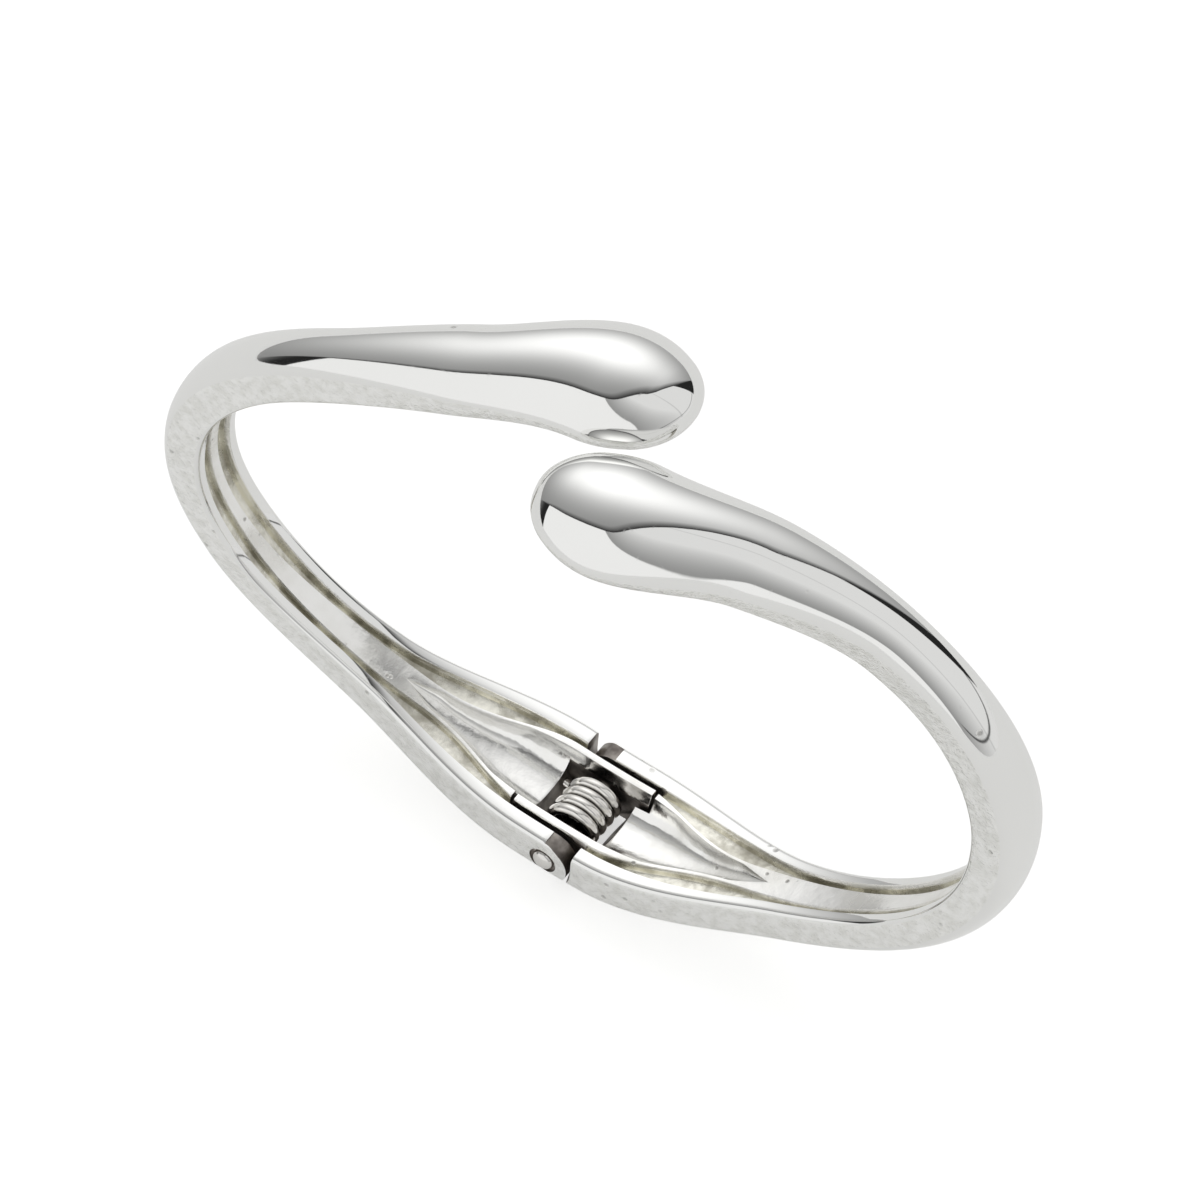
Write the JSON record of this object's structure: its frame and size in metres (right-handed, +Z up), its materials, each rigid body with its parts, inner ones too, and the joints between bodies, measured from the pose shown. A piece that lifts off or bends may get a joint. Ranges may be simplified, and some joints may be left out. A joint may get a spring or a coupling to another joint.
{
  "type": "bangle bracelet",
  "caption": "Sprung, hinged bypass bangle in bright cast metal with drop-shaped ends that pass each other, closed round the wrist by a hidden torsion spring.",
  "frame": {"origin": "bottom centre of the bounding box, under the middle of the hinge, on the surface that the bangle stands on", "axes": "+X across the long side of the wrist opening, towards the half that opens; +Y along the hinge pin and the wrist, away from the pin's domed head; +Z up from the hinge to the drops"},
  "size_m": [0.0648, 0.0182, 0.048],
  "materials": {
    "bright_plating": "mirror polished rhodium-coloured plating over cast zinc alloy, with small casting pits",
    "pin_steel": "bright riveted steel",
    "spring_steel": "drawn spring wire, bright with grey between the turns"
  },
  "bodies": {
    "left_half": {"left_arm": "bright_plating", "hinge_pin": "pin_steel", "hinge_spring": "spring_steel"},
    "right_half": {"right_arm": "bright_plating"}
  },
  "joints": [
    {"name": "hinge_open", "type": "hinge", "parent": "left_half", "child": "right_half", "pos_m": [0, 0, 0.0021], "axis": [0, 1, 0], "range_deg": [0, 45], "stiffness_Nm_per_rad": 0.12, "springref_deg": -34.38, "deforming": ["hinge_spring"]}
  ]
}
